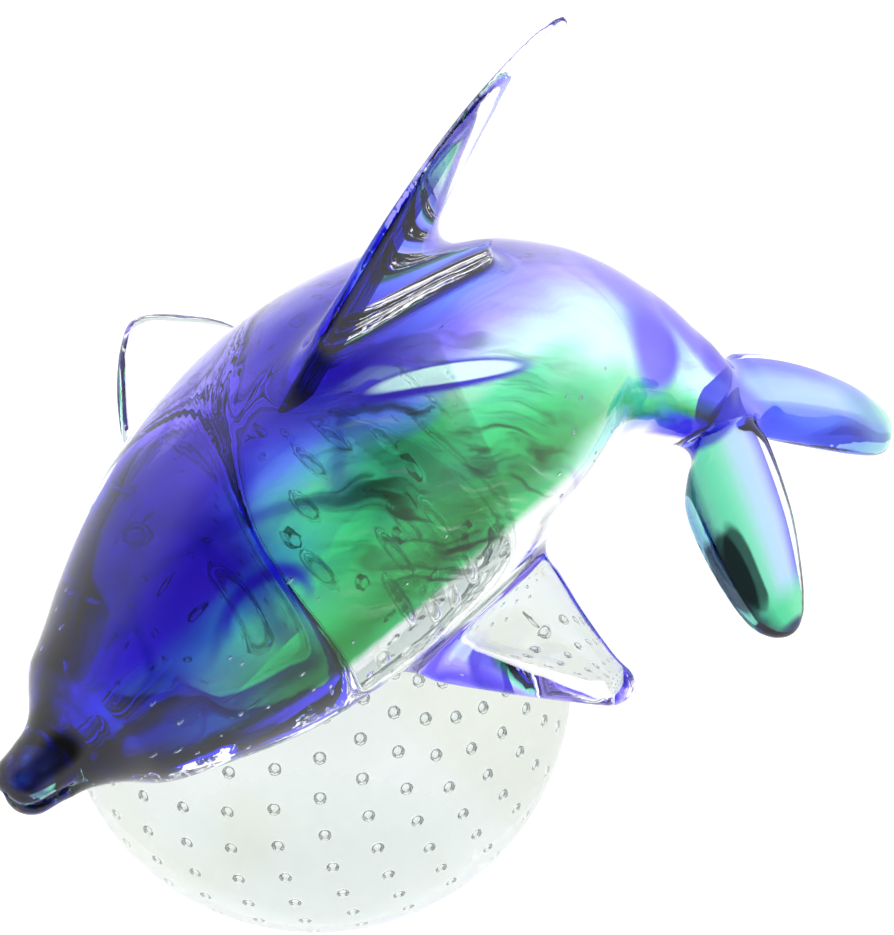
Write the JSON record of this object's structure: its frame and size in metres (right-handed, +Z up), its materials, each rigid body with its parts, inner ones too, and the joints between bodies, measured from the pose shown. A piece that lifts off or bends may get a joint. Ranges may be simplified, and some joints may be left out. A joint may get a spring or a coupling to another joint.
{
  "type": "crystal glass figurine",
  "caption": "Solid glass dolphin, blue back and green belly cased in clear crystal, leaping over a clear ball with trapped air bubbles and a ground flat base.",
  "frame": {"origin": "centre of the ball's ground flat, at the height of the surface it stands on", "axes": "+Z up; -X is the way the dolphin heads; -Y is the dolphin's left side"},
  "size_m": [0.213, 0.1253, 0.188],
  "materials": {
    "clear_core": "clear crystal with a polished outer face",
    "clear_casing": "clear crystal, fire polished",
    "cobalt": "transparent cobalt blue glass",
    "emerald": "transparent emerald green glass",
    "beak_blue": "deep cobalt glass, nearly black where it is thick",
    "mint": "transparent mint green glass",
    "sky": "transparent light blue glass"
  },
  "bodies": {
    "root": {"ball_core": "clear_core", "ball_casing": "clear_casing", "joint_pad": "clear_casing", "body_casing": "clear_casing", "back_core": "cobalt", "belly_core": "emerald", "upper_jaw": "beak_blue", "lower_jaw": "beak_blue", "dorsal_fin": "clear_casing", "dorsal_streak": "cobalt", "pectoral_fin_left": "clear_casing", "pectoral_band_left": "cobalt", "pectoral_fin_right": "clear_casing", "pectoral_band_right": "cobalt", "fluke_left": "clear_casing", "fluke_core_left": "mint", "fluke_right": "clear_casing", "fluke_core_right": "sky"}
  },
  "joints": []
}
